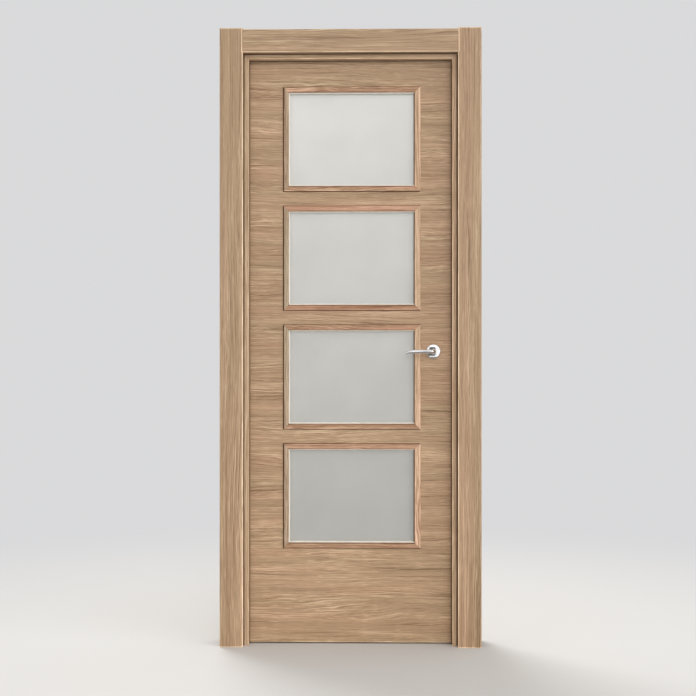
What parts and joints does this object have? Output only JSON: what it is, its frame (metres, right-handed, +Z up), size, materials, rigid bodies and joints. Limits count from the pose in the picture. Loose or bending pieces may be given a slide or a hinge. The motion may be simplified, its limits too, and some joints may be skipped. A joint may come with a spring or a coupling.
{
  "type": "glazed interior door set",
  "caption": "Flush interior door with frosted glass lights, lever handles, lift-off hinges, wooden lining, stops and casings.",
  "frame": {"origin": "on the hinge jamb's wall face, at floor level, half way through the wall", "axes": "+Z up; +X from the hinge jamb to the strike jamb; +Y through the wall, from the push side to the side the leaf opens to"},
  "size_m": [0.9156, 0.153, 2.1325],
  "materials": {
    "frame_wood": "satin",
    "leaf_veneer": "satin",
    "bead_wood": "satin",
    "core_wood": "satin",
    "frosted_glass": "frosted",
    "handle_chrome": "polished",
    "hinge_steel": "satin",
    "seal_rubber": "matte"
  },
  "bodies": {
    "frame": {"hinge_jamb": "frame_wood", "strike_jamb": "frame_wood", "head_jamb": "frame_wood", "hinge_stop": "frame_wood", "strike_stop": "frame_wood", "head_stop": "frame_wood", "door_seal": "seal_rubber", "front_casing_left": "frame_wood", "front_casing_right": "frame_wood", "front_casing_head": "frame_wood", "rear_casing_left": "frame_wood", "rear_casing_right": "frame_wood", "rear_casing_head": "frame_wood", "strike_plate": "hinge_steel", "upper_hinge_frame_half": "hinge_steel", "middle_hinge_frame_half": "hinge_steel", "lower_hinge_frame_half": "hinge_steel"},
    "leaf": {"hinge_stile": "core_wood", "lock_stile": "core_wood", "top_rail": "core_wood", "upper_cross_rail": "core_wood", "middle_cross_rail": "core_wood", "lower_cross_rail": "core_wood", "bottom_rail": "core_wood", "front_skin": "leaf_veneer", "rear_skin": "leaf_veneer", "glass_1": "frosted_glass", "glass_2": "frosted_glass", "glass_3": "frosted_glass", "glass_4": "frosted_glass", "front_bead_frame_1": "bead_wood", "front_bead_frame_2": "bead_wood", "front_bead_frame_3": "bead_wood", "front_bead_frame_4": "bead_wood", "rear_bead_frame_1": "bead_wood", "rear_bead_frame_2": "bead_wood", "rear_bead_frame_3": "bead_wood", "rear_bead_frame_4": "bead_wood", "front_rose": "handle_chrome", "rear_rose": "handle_chrome", "latch": "hinge_steel", "upper_hinge_leaf_half": "hinge_steel", "middle_hinge_leaf_half": "hinge_steel", "lower_hinge_leaf_half": "hinge_steel"},
    "handle": {"front_lever": "handle_chrome", "rear_lever": "handle_chrome", "spindle": "hinge_steel"}
  },
  "joints": [
    {"name": "leaf_swing", "type": "hinge", "parent": "frame", "child": "leaf", "pos_m": [0.02815, 0.042, 1], "axis": [0, 0, 1], "range_deg": [0, 120]},
    {"name": "lever_turn", "type": "hinge", "parent": "leaf", "child": "handle", "pos_m": [0.6808, 0.0175, 1.014], "axis": [0, -1, 0], "range_deg": [0, 40], "stiffness_Nm_per_rad": 1.5, "springref_deg": -28.65}
  ]
}
